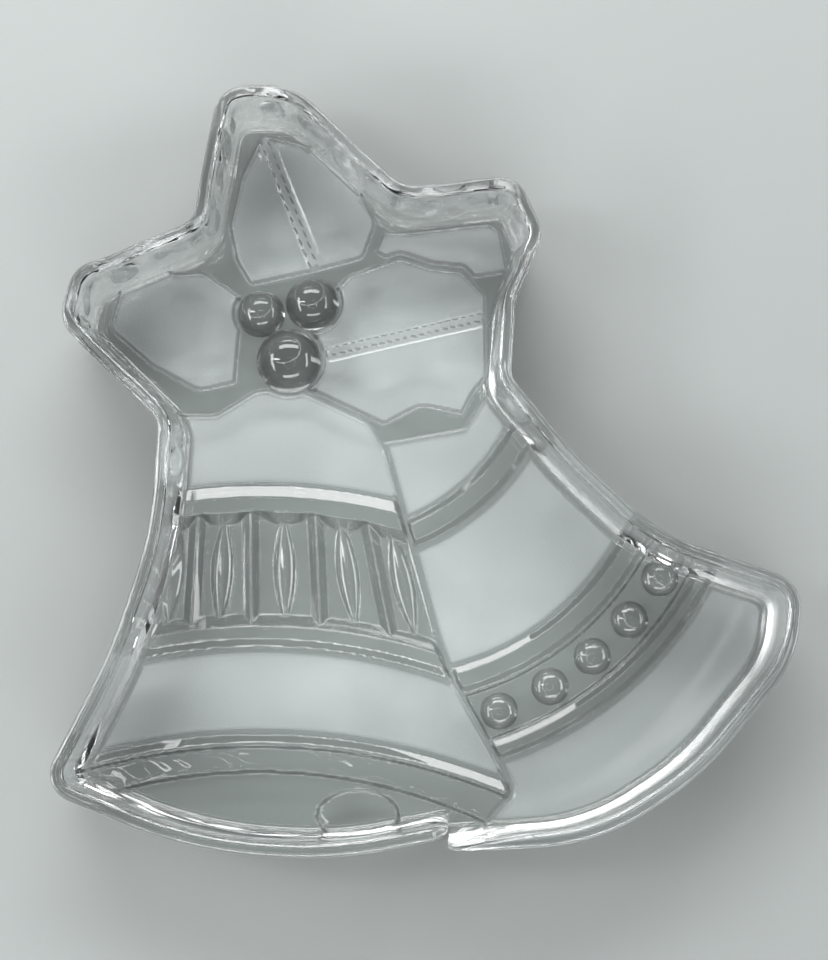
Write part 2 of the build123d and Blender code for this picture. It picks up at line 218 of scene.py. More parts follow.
def split_long(rows, step):
    """The same boundary, in pieces no longer than a step."""
    out = []
    for x0, y0, x1, y1 in rows:
        n = max(1, math.ceil(math.hypot(x1 - x0, y1 - y0) / step))
        t = np.linspace(0, 1, n + 1)
        xs = x0 + (x1 - x0) * t
        ys = y0 + (y1 - y0) * t
        out.append(np.stack([xs[:-1], ys[:-1], xs[1:], ys[1:]], 1))
    return np.concatenate(out)


def inside(p, rows):
    """Which points lie inside a closed boundary."""
    result = np.zeros(len(p), bool)
    for first in range(0, len(p), 4000):
        x, y = p[first:first + 4000, 0:1], p[first:first + 4000, 1:2]
        x0, y0, x1, y1 = rows.T
        crosses = (y0 > y) != (y1 > y)
        with np.errstate(divide="ignore", invalid="ignore"):
            at_x = x0 + (y - y0) / (y1 - y0) * (x1 - x0)
        result[first:first + 4000] = (crosses & (x < at_x)).sum(1) % 2 == 1
    return result


def distance(p, rows):
    """Each point's distance to the nearest of some straight pieces."""
    best = np.full(len(p), FAR)
    if not len(rows):
        return best
    a, d = rows[:, :2], rows[:, 2:] - rows[:, :2]
    length = np.maximum((d ** 2).sum(1), 1e-12)
    for first in range(0, len(p), 3000):
        q = p[first:first + 3000, None, :] - a
        t = np.clip((q * d).sum(2) / length, 0, 1)
        best[first:first + 3000] = np.sqrt(((q - t[..., None] * d) ** 2).sum(2).min(1))
    return best


def ramp(d, width, blend=0.3):
    """0 to 1 over a width: a straight slope, rounded at its foot and its brow."""
    x = np.clip(d / width, 0, 1)
    slope = 1 / (1 - blend)
    foot = slope * x ** 2 / (2 * blend)
    middle = slope * (x - blend / 2)
    brow = 1 - slope * (1 - x) ** 2 / (2 * blend)
    return np.where(x < blend, foot, np.where(x < 1 - blend, middle, brow))


def in_line(p, start, end):
    """Places along a line, from its middle, and across it, and the line's length."""
    a, b = np.array(start), np.array(end)
    length = np.hypot(*(b - a))
    ahead = (b - a) / length
    q = p - (a + b) / 2
    return q @ ahead, q @ np.array([-ahead[1], ahead[0]]), length


def smooth_max(a, b, round_off):
    """The higher of two surfaces, with the crease between them rounded."""
    h = np.clip((a - b) / round_off, -1, 1)
    return np.maximum(a, b) + round_off * (1 - np.abs(h)) ** 2 / 4


def rim_line():
    """The rim's outer edge as points, with the row where each wall's share of it begins."""
    corners = np.array([c[:2] for c in RIM_CORNERS])
    last_corner = len(corners) - 1
    firsts = {first for first, _, _ in WALLS.values()}
    pieces, starts = [], {}
    here = corners[0]
    for k in range(1, last_corner):
        if k in firsts:
            border = corners[0] if k == 1 else (corners[k - 1] + corners[k]) / 2
            pieces.append(straight(here, border))
            starts[k] = sum(len(r) for r in pieces)
            here = border
        into = corners[k] - corners[k - 1]
        out = corners[k + 1] - corners[k]
        into, out = into / np.hypot(*into), out / np.hypot(*out)
        turn = math.atan2(into[0] * out[1] - into[1] * out[0], into @ out)
        radius = RIM_CORNERS[k][2]
        cut = radius * math.tan(abs(turn) / 2)
        first = corners[k] - into * cut
        centre = first + np.array([-into[1], into[0]]) * math.copysign(radius, turn)
        pieces.append(straight(here, first))
        n = max(3, math.ceil(radius * abs(turn) / ALONG_RIM))
        angles = np.linspace(0, turn, n + 1)[:-1]
        x, y = first - centre
        pieces.append(centre + np.stack([x * np.cos(angles) - y * np.sin(angles),
                                         x * np.sin(angles) + y * np.cos(angles)], 1))
        here = corners[k] + out * cut
    pieces += [straight(here, corners[-1]), corners[-1:]]
    starts[last_corner] = sum(len(r) for r in pieces) - 1
    return np.concatenate(pieces), starts


def straight(a, b):
    n = math.ceil(np.hypot(*(b - a)) / ALONG_RIM)
    return a + (b - a) * (np.arange(n) / max(n, 1))[:, None]


RIM, WALL_STARTS = rim_line()
ahead = np.gradient(RIM, axis=0)
ahead /= np.hypot(ahead[:, 0], ahead[:, 1])[:, None]
INWARDS = np.stack([ahead[:, 1], -ahead[:, 0]], 1)
foot_points = RIM + INWARDS * WALL_FOOT
FOOT_LINE = np.concatenate([foot_points[:-1], foot_points[1:]], 1)

TILES = sorted(n for n in NODES if n not in WALLS)
OUTLINES = {n: bottom_outline(NODES[n]) for n in TILES}
EDGES = {n: split_long(OUTLINES[n], EDGE_STEP) for n in TILES}


def group_edges(group):
    """The boundary of several tiles taken together, where it meets tiles of no such group."""
    others = [n for n in TILES if n not in group]
    found = []
    for name in group:
        rows = EDGES[name]
        middle = (rows[:, :2] + rows[:, 2:]) / 2
        d = rows[:, 2:] - rows[:, :2]
        across = np.stack([-d[:, 1], d[:, 0]], 1) / np.hypot(d[:, 0], d[:, 1])[:, None]
        beside = middle + across * 0.12
        flip = inside(beside, OUTLINES[name])
        beside[flip] = (middle - across * 0.12)[flip]
        meets = np.zeros(len(rows), bool)
        for other in others:
            outline = OUTLINES[other]
            low, high = outline.min(0), outline.max(0)
            near = ((beside > np.minimum(low[:2], low[2:])) &
                    (beside < np.maximum(high[:2], high[2:]))).all(1) & ~meets
            if near.any():
                index = np.where(near)[0]
                meets[index] = inside(beside[index], outline)
        found.append(rows[meets])
    return np.concatenate(found)


LEFT_TILES = {n for n in TILES if n.startswith(("left_bell", "flute"))}
RIGHT_TILES = {n for n in TILES if n.startswith(("right_bell", "bead"))}
LEFT_EDGE = group_edges(LEFT_TILES)
BELLS_EDGE = group_edges(LEFT_TILES | RIGHT_TILES)
LEAF_EDGES = {leaf: group_edges(set(tiles)) for leaf, tiles in LEAVES.items()}
LEAF_OF = {tile: leaf for leaf, tiles in LEAVES.items() for tile in tiles}


# ---- the relief ----


def dome(p, centre, side, rise):
    """Height of a ball cap above its rim, below zero outside it."""
    ball = (side ** 2 + rise ** 2) / (2 * rise)
    r2 = ((p - np.array(centre)) ** 2).sum(1)
    return np.where(r2 <= side ** 2, rise - ball + np.sqrt(np.maximum(ball ** 2 - r2, 0)), -1.0)


def ring_distance(p, centre, radii):
    """How far a point lies inside a ring, from its nearer edge."""
    r = np.hypot(p[:, 0] - centre[0], p[:, 1] - centre[1])
    return np.minimum(r - radii[0], radii[1] - r)


def bow(p, top, radius):
    """How far a point lies on the mouth side of a bow across the left bell."""
    return radius - np.hypot(p[:, 0] - LEFT_AXIS, p[:, 1] - (top - radius))


def left_relief(p):
    """Relief above the left bell's own level."""
    z = 0.0
    for (top, radius, width), upper, lower in BAND_FACETS:
        d = bow(p, top, radius)
        rise = ramp(d, upper, BAND_BLEND) * ramp(width - d, lower, BAND_BLEND)
        z = z + BAND_RISE * rise
    below_upper = bow(p, *UPPER_BAND[:2]) - UPPER_BAND[2]
    above_lower = -bow(p, *LOWER_BAND[:2])
    flutes = (below_upper > 0) & (above_lower > 0)
    if flutes.any():
        z = np.where(flutes, flute_relief(p, below_upper, above_lower), z)
    z = z + skirt_dome(above_lower + LOWER_BAND[2])
    in_mouth = bow(p, *MOUTH_BOW)
    mouth = MOUTH_PANEL - LEFT_BELL
    below_rim_band = bow(p, *RIM_BAND[:2]) - RIM_BAND[2]
    margin = ramp(below_rim_band, MARGIN_FACETS[0]) * ramp(-in_mouth, MARGIN_FACETS[1])
    x, y = p[:, 0], p[:, 1]
    flow = np.sin(x / 3.3 + 1.4 * np.sin(y / 4.1)) * np.sin(y / 3.7 + x / 9.0)
    z = z + FLOW_RISE * margin * flow
    z = z + mouth * ramp(in_mouth, MOUTH_FACET, MOUTH_BLEND)
    q = (p - np.array(CLAPPER_PLACE)) / np.array([CLAPPER_HALF_LENGTH, CLAPPER_HALF_WIDTH])
    reach = np.hypot(q[:, 0], q[:, 1])
    edge = ramp(1 - reach, CLAPPER_FACET, MOUTH_BLEND)
    clapper = mouth + CLAPPER_RISE * (1 - CLAPPER_SAG * reach ** 2) * edge
    return np.where(reach < 1, np.maximum(z, clapper), z)


def skirt_dome(past_lower_band):
    """A slight swell down the skirt, between the lower band and the rim band."""
    t = np.clip(-past_lower_band / LEFT_SKIRT, 0, 1)
    return SKIRT_SWELL * np.sin(np.pi * t) ** 2


def flute_relief(p, below_upper, above_lower):
    """Pointed bars and olives, standing in a recess whose upper slope is scalloped by the bars."""
    gap = np.full(len(p), FAR)
    olives = np.full(len(p), BURIED)
    for start, end in OLIVES:
        t, c, length = in_line(p, start, end)
        gap = np.minimum(gap, np.abs(c))
        shape = 1 - (2 * t / length) ** 2
        side = np.maximum(OLIVE_WIDTH / 2 * shape, 1e-3)
        k = np.abs(c) / side
        crest = ROOF_SHARE * (1 - np.sqrt(k ** 2 + 0.003)) + (1 - ROOF_SHARE) * (1 - k ** 2)
        rise = OLIVE_RISE * np.maximum(shape, 0) ** 0.7 * crest
        olives = np.maximum(olives, np.where((shape > 0) & (k < 1), rise, BURIED))
    scallop = SCALLOP_LEAST + SCALLOP_MORE * np.clip(1 - (gap / SCALLOP_REACH) ** 2, 0, 1)
    upper_slope = ramp(below_upper / scallop, 1.0, BAND_BLEND)
    depth = upper_slope * ramp(above_lower, LOWER_BEVEL, BEVEL_BLEND)
    base = FLUTE_PANEL - LEFT_BELL
    floor = BAND_RISE + (base - BAND_RISE) * depth
    bars = np.full(len(p), BURIED)
    for start, end in BARS:
        _, c, _ = in_line(p, start, end)
        bars = np.maximum(bars, BAR_RISE * (1 - np.sqrt((2 * c / BAR_WIDTH) ** 2 + 0.004)))
    z = smooth_max(floor, base + olives, 0.08)
    return smooth_max(z, base + bars, 0.1)


def right_relief(p):
    """Relief above the right bell's own level, without its beads."""
    z = 0.0
    for centre, radii in ((CROWN_CENTRE, CROWN_BAND), (BELL_CENTRE, UPPER_RIDGE),
                          (BELL_CENTRE, LOWER_RIDGE)):
        z = z + BAND_RISE * ramp(ring_distance(p, centre, radii), RIDGE_FACET, BAND_BLEND)
    between = ring_distance(p, BELL_CENTRE, (UPPER_RIDGE[1], LOWER_RIDGE[0]))
    z = z + (BEAD_PANEL - RIGHT_BELL) * ramp(between, BEAD_PANEL_FACET)
    across_skirt = np.hypot(p[:, 0] - BELL_CENTRE[0], p[:, 1] - BELL_CENTRE[1]) - LOWER_RIDGE[1]
    return z + SKIRT_SWELL * np.sin(np.pi * np.clip(across_skirt / RIGHT_SKIRT, 0, 1)) ** 2


def leaf_relief(p, leaf):
    """A leaf's puffed panel, with a flat-topped vein down its middle."""
    d = distance(p, LEAF_EDGES[leaf])
    t, c, length = in_line(p, *VEINS[leaf])
    puff = PUFF * (1 - np.exp(-d / PUFF_REACH))
    along = ramp(length / 2 - np.abs(t), VEIN_END)
    beside_vein = np.exp(-((np.abs(c) - 8) / 6) ** 2)
    ripple = RIPPLE * np.sin(t / 3.1 + 0.22 * np.abs(c)) * beside_vein
    z = (LEAF_PANEL - LEAF_BED) * ramp(d, LEAF_FACET) + puff + ripple * ramp(d, RIPPLE_FADE)
    if leaf in ("top_leaf", "lower_right_leaf"):
        groove = -GROOVE * ramp(GROOVE_SIDE - np.abs(c), GROOVE_FACET)
        vein = (VEIN_RISE + GROOVE) * ramp(VEIN_WIDTH / 2 - np.abs(c), VEIN_FACET, BAND_BLEND)
        z = z + (groove + vein) * along * ramp(d, VEIN_EDGE)
    return z


def surface(p, name):
    """Height of the top of the glass at some points of one tile."""
    z = np.full(len(p), LEAF_BED)
    if name.startswith("berry_") and name != "berry_bed":
        caps = [dome(p, centre, side, BERRY_RISE) for centre, side in BERRIES]
        return z + np.maximum(np.max(caps, 0), 0)
    within_cove = np.maximum(COVE - (distance(p, FOOT_LINE) + COVE_OVERLAP), 0)
    cove = COVE - np.sqrt(COVE ** 2 - within_cove ** 2)
    if name in LEAF_OF:
        z = z + leaf_relief(p, LEAF_OF[name])
    elif name in LEFT_TILES or name in RIGHT_TILES:
        outer = ramp(distance(p, BELLS_EDGE), OUTER_FACET)
        from_left = distance(p, LEFT_EDGE)
        z = z + (RIGHT_BELL - LEAF_BED) * outer
        if name in LEFT_TILES:
            lap = ramp(from_left, LAP_FACET)
            z = z + lap * (LEFT_BELL - RIGHT_BELL + left_relief(p))
        else:
            z = z + ramp(from_left, BESIDE_LAP) * outer * right_relief(p)
    z = z + cove
    if name.startswith("bead_"):
        caps = np.max([dome(p, centre, BEAD_RADIUS, BEAD_RISE) for centre in BEADS], 0)
        z = np.where(caps >= 0, np.maximum(z, BEAD_PANEL + caps), z)
    return z


def normals(p, name):
    """Upward normals of the relief, from its slopes."""
    h = 0.12
    dx = (surface(p + [h, 0], name) - surface(p - [h, 0], name)) / (2 * h)
    dy = (surface(p + [0, h], name) - surface(p - [0, h], name)) / (2 * h)
    n = np.stack([-dx, -dy, np.ones(len(p))], 1)
    balls = ()
    if name.startswith("bead_"):
        balls = [(centre, BEAD_RADIUS, BEAD_RISE, BEAD_PANEL) for centre in BEADS]
    elif name.startswith("berry_") and name != "berry_bed":
        balls = [(centre, side, BERRY_RISE, LEAF_BED) for centre, side in BERRIES]
    z = surface(p, name)
    for centre, side, rise, base in balls:
        ball = (side ** 2 + rise ** 2) / (2 * rise)
        cap = dome(p, centre, side + 0.05, rise)
        on = (cap > -0.9) & (np.abs(z - base - np.maximum(cap, 0)) < 0.05)
        q = np.stack([p[:, 0] - centre[0], p[:, 1] - centre[1],
                      np.maximum(cap, 0) - rise + ball], 1)
        n[on] = q[on]
    return n / np.linalg.norm(n, axis=1)[:, None]


# ---- meshes ----


def make_piece(name, points, faces, skins, loop_normals, frost=None):
    """A mesh in the row frame. Skin 0 is glass and skin 1 is a face shared with a neighbour."""
    mesh = bpy.data.meshes.new(name + "_glass")
    mesh.from_pydata((points * MM).tolist(), [], faces)
    clear = WALL_GLASS if name in WALLS else GLASS
    mesh.materials.append(FROSTED_GLASS if name in FROSTED else clear)
    mesh.materials.append(JOINT)
    mesh.polygons.foreach_set("material_index", skins)
    mesh.polygons.foreach_set("use_smooth", [True] * len(faces))
    if frost is not None:
        attribute = mesh.attributes.new("frost", "FLOAT", "POINT")
        attribute.data.foreach_set("value", frost.astype(np.float32))
    mesh.normals_split_custom_set(loop_normals)
    mesh.validate(clean_customdata=False)
    piece = bpy.data.objects.new(name + "_glass", mesh)
    bpy.context.scene.collection.objects.link(piece)
    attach(piece, "root")
    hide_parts(name)
    return piece


def rings(centre, side, step):
    """Points on circles that crowd towards the edge of a dome."""
    out = [np.array([centre])]
    count = max(6, int(side * 2.6 / step))
    for k in range(1, count):
        radius = side * math.sin(k / count * math.pi / 2)
        n = max(6, int(2 * math.pi * radius / step))
        a = np.arange(n) / n * 2 * math.pi + 0.3 * k
        out.append(np.array(centre) + radius * np.stack([np.cos(a), np.sin(a)], 1))
    return np.concatenate(out)


def grid_points(rows, step):
    """A triangular grid over the box of a boundary."""
    low = np.minimum(rows[:, :2], rows[:, 2:]).min(0)
    high = np.maximum(rows[:, :2], rows[:, 2:]).max(0)
    ys = np.arange(low[1], high[1], step * 0.866)
    xs = np.arange(low[0], high[0], step)
    x, y = np.meshgrid(xs, ys)
    x = x + (np.arange(len(ys)) % 2)[:, None] * step / 2
    return np.stack([x.ravel(), y.ravel()], 1)


def triangulate(rows, points):
    """Triangles over a bounded area, through its boundary and the points inside it."""
    index, flat, edges = {}, [], []
    for x0, y0, x1, y1 in rows:
        ends = []
        for x, y in ((x0, y0), (x1, y1)):
            key = (round(x, 3), round(y, 3))
            if key not in index:
                index[key] = len(flat)
                flat.append(Vector((x, y)))
            ends.append(index[key])
        if ends[0] != ends[1]:
            edges.append(tuple(ends))
    flat += [Vector(q) for q in points.tolist()]
    verts, _, faces, _, _, _ = delaunay_2d_cdt(flat, edges, [], 0, 1e-5)
    xy = np.array([[v.x, v.y] for v in verts])
    faces = np.array(faces)
    keep = inside(xy[faces].mean(1), rows)
    faces = faces[keep]
    a, b, c = xy[faces[:, 0]], xy[faces[:, 1]], xy[faces[:, 2]]
    area = (b[:, 0] - a[:, 0]) * (c[:, 1] - a[:, 1]) - (b[:, 1] - a[:, 1]) * (c[:, 0] - a[:, 0])
    faces[area < 0] = faces[area < 0][:, ::-1]
    used = np.unique(faces)
    renumber = np.full(len(xy), -1)
    renumber[used] = np.arange(len(used))
    return xy[used], renumber[faces]


def make_tile(name):
    rows = EDGES[name]
    plain = name in FROSTED or name.endswith("mouth") or name.endswith("bed")
    step = PLAIN if plain else FINE * 0.75 if name.startswith("flute") else FINE
    if name.startswith(("bead_", "berry_")) and name != "right_bell_bead_panel":
        step = 0.8 * FINE
    p = grid_points(rows, step)
    clear = 0.45 * step
    if plain:
        near = grid_points(rows, FINE)
        near = near[inside(near, rows)]
        near = near[distance(near, rows) < 4.5]
        p = p[inside(p, rows)]
        p = np.concatenate([p[distance(p, rows) >= 4.5], near])
    if name.startswith("berry_") and name != "berry_bed":
        centre, side = BERRIES[int(name[-1]) - 1]
        p = rings(centre, side, 0.7)
        clear = 0.1
    elif name.startswith("bead_"):
        p = rings(BEADS[int(name[-1]) - 1], BEAD_RADIUS, 0.6)
        clear = 0.1
    if name.startswith("flute"):
        for start, end in BARS + OLIVES:
            _, _, length = in_line(p, start, end)
            t = np.arange(0, length, 0.5) / length
            crest = np.array(start) + t[:, None] * (np.array(end) - np.array(start))
            p = np.concatenate([p, crest])
    p = p[inside(p, rows)]
    p = p[distance(p, rows) > clear]
    xy, faces = triangulate(rows, p)
    top = surface(xy, name)
    n = len(xy)
    counts = {}
    for a, b, c in faces.tolist():
        for pair in ((a, b), (b, c), (c, a)):
            if (pair[1], pair[0]) in counts:
                del counts[(pair[1], pair[0])]
            else:
                counts[pair] = 1
    rim = list(counts)
    moved = xy + SHIFT
    points = np.concatenate([np.column_stack([moved, top]), np.column_stack([moved, np.zeros(n)])])
    sides = [(a, a + n, b + n, b) for a, b in rim]
    all_faces = faces.tolist() + (faces[:, ::-1] + n).tolist() + sides
    skins = [0] * (2 * len(faces)) + [1] * len(sides)
    up = normals(xy, name)
    loops = np.concatenate([up[faces.ravel()], np.tile([0.0, 0, -1], (faces.size, 1)),
                            np.zeros((4 * len(sides), 3))])
    frost = None
    if name in FROSTED:
        border = LEAF_EDGES[LEAF_OF[name]] if name in LEAF_OF else rows
        fade = ramp(distance(xy, border) - 0.8, 1.2)
        frost = np.concatenate([np.zeros(n), fade])
    make_piece(name, points, all_faces, skins, loops.tolist(), frost)
    border = sorted({i for pair in rim for i in pair})
    return np.column_stack([xy[border], top[border]])


def bend(a, b, c, n):
    """Points along a curve from a to c that turns at b."""
    t = np.linspace(0, 1, n)[:, None]
    a, b, c = np.array(a), np.array(b), np.array(c)
    return (1 - t) ** 2 * a + 2 * t * (1 - t) * b + t ** 2 * c


def wall_grid(borders):
    """The whole wall: rows along the rim, columns round the section from the foot outwards."""
    foot = RIM + INWARDS * (WALL_FOOT + 0.02)
    border = np.concatenate(borders)
    floor_z = np.empty(len(RIM))
    for i, q in enumerate(foot):
        d = ((border[:, :2] - q) ** 2).sum(1)
        near = np.argsort(d)[:2]
        weight = 1 / (np.sqrt(d[near]) + 0.02)
        floor_z[i] = (border[near, 2] * weight).sum() / weight.sum()
    along = np.concatenate([[0], np.cumsum(np.hypot(*np.diff(RIM, axis=0).T))])
    lumpy = np.zeros(len(RIM))
    for first, last, amount in WALLS.values():
        lumpy[WALL_STARTS[first]:WALL_STARTS[last + 1]] = amount
    width = int(9 / ALONG_RIM)
    lumpy = np.convolve(np.pad(lumpy, width, "edge"), np.ones(2 * width + 1) / (2 * width + 1),
                        "valid")
    slope = WALL_DRAFT / RIM_HEIGHT
    outside = bend((WALL_DRAFT + BASE_ROUND, 0), (WALL_DRAFT, 0),
                   (WALL_DRAFT - BASE_ROUND * slope, BASE_ROUND), 6)
    up = np.linspace(BASE_ROUND, RIM_HEIGHT - RIM_ROUND, 14)[1:-1]
    outside = np.concatenate([outside, np.column_stack([WALL_DRAFT - up * slope, up])])
    lip = bend((RIM_ROUND * slope, RIM_HEIGHT - RIM_ROUND), (0, RIM_HEIGHT),
               (RIM_ROUND, RIM_HEIGHT), 7)
    top = np.array([[RIM_WIDTH / 2, RIM_HEIGHT - 0.02]])
    inner_lip = bend((RIM_WIDTH - RIM_ROUND, RIM_HEIGHT), (RIM_WIDTH, RIM_HEIGHT),
                     (RIM_WIDTH + 0.1, RIM_HEIGHT - RIM_ROUND), 7)
    fixed = np.concatenate([[[WALL_FOOT, 0]], outside, lip, top, inner_lip])
    n = 20
    t = np.linspace(0, 1, n + 1)[1:]
    grid = np.empty((len(RIM), len(fixed) + n, 3))
    for i in range(len(RIM)):
        z_top = RIM_HEIGHT - RIM_ROUND
        z = z_top + (floor_z[i] - z_top) * t
        u = RIM_WIDTH + 0.1 + (WALL_FOOT - RIM_WIDTH - 0.1) * t ** 2.4
        s = along[i]
        bulge = (0.75 * math.sin(s / 2.9) + 0.55 * math.sin(s / 1.7 + 1.3)) * lumpy[i]
        u = u + bulge * np.sin(np.pi * t) ** 2 * np.sin(2.2 * t + s / 11.0)
        u = u + lumpy[i] * 1.3 * np.sin(np.pi * t) ** 1.5
        section = np.concatenate([fixed, np.column_stack([u, z])])
        wave = 0.25 * lumpy[i] * math.sin(s / 4.3) * np.clip((section[:, 1] - 20) / 8, 0, 1)
        section[:, 0] += np.maximum(wave, 0)
        section = loose_end(section, floor_z[i], s, along[-1] - s)
        plan = RIM[i] + INWARDS[i] * section[:, :1] + SHIFT
        grid[i] = np.column_stack([plan, section[:, 1]])
    return grid


def loose_end(section, floor_z, from_left_end, from_right_end):
    """A wall's section where it runs out: the left lip rounds off, and the right lip tapers to
    a tip. Below the floor's level its inner side stays where the floor meets it."""
    u, z = section.T
    left = rounded(from_left_end / LEFT_END)
    tip = rounded(from_right_end / RIGHT_ROUNDING)
    taper = min(from_right_end / RIGHT_END, 1) ** 0.7
    middle = WALL_FOOT / 2
    narrow = middle + (u - middle) * left
    narrow = narrow * (0.2 + 0.8 * taper)
    narrow = TIP_INSET + (narrow - TIP_INSET) * (0.1 + 0.9 * tip)
    free = np.where(u < middle, 1.0, np.clip((z - floor_z) / 1.5, 0, 1))
    free = np.maximum(free, np.clip(TIP_INSET - from_right_end, 0, 1))
    above = np.maximum(z - floor_z, 0) * min(0.3 + 0.7 * left, 0.25 + 0.75 * tip)
    return np.column_stack([u + free * (narrow - u), np.minimum(z, floor_z) + above])


def rounded(share):
    """The half width of a rounded end, as a share, from its tip at 0 to its full width at 1."""
    return math.sqrt(1 - max(1 - share, 0) ** 2)


def make_walls(borders):
    grid = wall_grid(borders)
    rows = np.gradient(grid, axis=0)
    columns = np.gradient(grid, axis=1)
    facing = np.cross(columns, rows)
    facing /= np.maximum(np.linalg.norm(facing, axis=2), 1e-9)[..., None]
    facing[:, 0] = (0, 0, -1)
    facing[:, 1] = (0, 0, -1)
    across = grid.shape[1]
    for name, (first, last, _) in WALLS.items():
        i0, i1 = WALL_STARTS[first], WALL_STARTS[last + 1]
        part = grid[i0:i1 + 1]
        n = facing[i0:i1 + 1].reshape(-1, 3)
        length = len(part)
        i, j = np.meshgrid(np.arange(length - 1), np.arange(across - 1), indexing="ij")
        a = (i * across + j).ravel()
        skin = np.column_stack([a, a + 1, a + across + 1, a + across])
        loops = [n[skin.ravel()]]
        end = np.arange(length - 1)
        seam = np.column_stack([end * across, end * across + across,
                                (end + 2) * across - 1, (end + 1) * across - 1])
        caps = [list(range(across))[::-1],
                list(range((length - 1) * across, length * across))]
        loops.append(np.zeros((4 * len(seam) + 2 * across, 3)))
        open_start = i0 == 0
        open_end = i1 == len(grid) - 1
        skins = [0] * len(skin) + [1] * len(seam) + [0 if open_start else 1,
                                                     0 if open_end else 1]
        faces = skin.tolist() + seam.tolist() + caps
        make_piece(name, part.reshape(-1, 3), faces, skins, np.concatenate(loops).tolist())


# ---- materials ----


def new_material(name):
    material = bpy.data.materials.new(name)
    material.use_nodes = True
    tree = material.node_tree
    tree.nodes.clear()
    return material, tree, tree.nodes.new("ShaderNodeOutputMaterial")


def noise_bump(tree, scale, strength, reach, detail=2.0):
    coordinates = tree.nodes.new("ShaderNodeTexCoord")
    noise = tree.nodes.new("ShaderNodeTexNoise")
    noise.inputs["Scale"].default_value = scale
    noise.inputs["Detail"].default_value = detail
    bump = tree.nodes.new("ShaderNodeBump")
    bump.inputs["Strength"].default_value = strength
    bump.inputs["Distance"].default_value = reach
    tree.links.new(coordinates.outputs["Object"], noise.inputs["Vector"])
    tree.links.new(noise.outputs["Fac"], bump.inputs["Height"])
    return bump, noise


def principled(tree, colour, roughness, transmission, bump=None):
    shader = tree.nodes.new("ShaderNodeBsdfPrincipled")
    shader.inputs["Base Color"].default_value = (*colour, 1)
    shader.inputs["Roughness"].default_value = roughness
    shader.inputs["IOR"].default_value = 1.52
    shader.inputs["Transmission Weight"].default_value = transmission
    if bump:
        tree.links.new(bump.outputs["Normal"], shader.inputs["Normal"])
    return shader


def mix(tree, factor, first, second):
    node = tree.nodes.new("ShaderNodeMixShader")
    if isinstance(factor, float):
        node.inputs[0].default_value = factor
    else:
        tree.links.new(factor, node.inputs[0])
    tree.links.new(first.outputs[0], node.inputs[1])
    tree.links.new(second.outputs[0], node.inputs[2])
    return node


def by_slope(tree, tint, steep, level, least):
    """A colour that falls to its least share where the glass is steep; as a glass colour it is
    painted shade.
    """
    geometry = tree.nodes.new("ShaderNodeNewGeometry")
    split = tree.nodes.new("ShaderNodeSeparateXYZ")
    upright = tree.nodes.new("ShaderNodeMath")
    upright.operation = "ABSOLUTE"
    share = tree.nodes.new("ShaderNodeMapRange")
    share.inputs["From Min"].default_value = steep
    share.inputs["From Max"].default_value = level
    share.inputs["To Min"].default_value = least
    share.inputs["To Max"].default_value = 1.0
    colour = tree.nodes.new("ShaderNodeVectorMath")
    colour.operation = "SCALE"
    colour.inputs[0].default_value = tint
    tree.links.new(geometry.outputs["Normal"], split.inputs[0])
    tree.links.new(split.outputs["Z"], upright.inputs[0])
    tree.links.new(upright.outputs[0], share.inputs["Value"])
    tree.links.new(share.outputs[0], colour.inputs["Scale"])
    return colour


def lets_light_through(tree, shader, tint):
    """Shadow rays pass, so that light reaches what lies under the glass. Steep glass bends most
    light away, so it passes less."""
    path = tree.nodes.new("ShaderNodeLightPath")
    colour = by_slope(tree, tint, 0.55, 0.995, 0.25)
    clear = tree.nodes.new("ShaderNodeBsdfTransparent")
    tree.links.new(colour.outputs[0], clear.inputs[0])
    return mix(tree, path.outputs["Is Shadow Ray"], shader, clear)


def relief_glass_painted_shade(tree, roughness):
    """Clear glass with painted shade: its colour is darkened on steep facets, standing in for the
    light they bend aside.
    """
    bump, _ = noise_bump(tree, 55.0, 0.05, 0.0006)
    shader = principled(tree, CLEAR_TINT, roughness, 1.0, bump)
    # painted shade: the glass colour falls on steep facets, in place of the light they bend away
    colour = by_slope(tree, CLEAR_TINT, 0.6, 0.97, 0.22)
    tree.links.new(colour.outputs[0], shader.inputs["Base Color"])
    return shader


def wall_glass():
    material, tree, output = new_material("wall_glass")
    bump, _ = noise_bump(tree, 55.0, 0.06, 0.0006)
    shader = principled(tree, CLEAR_TINT, 0.02, 1.0, bump)
    final = lets_light_through(tree, shader, (0.93, 0.95, 0.94))
    tree.links.new(final.outputs[0], output.inputs[0])
    return material


def clear_glass():
    material, tree, output = new_material("clear_glass")
    shader = relief_glass_painted_shade(tree, 0.02)
    final = lets_light_through(tree, shader, (0.93, 0.95, 0.94))
    tree.links.new(final.outputs[0], output.inputs[0])
    return material


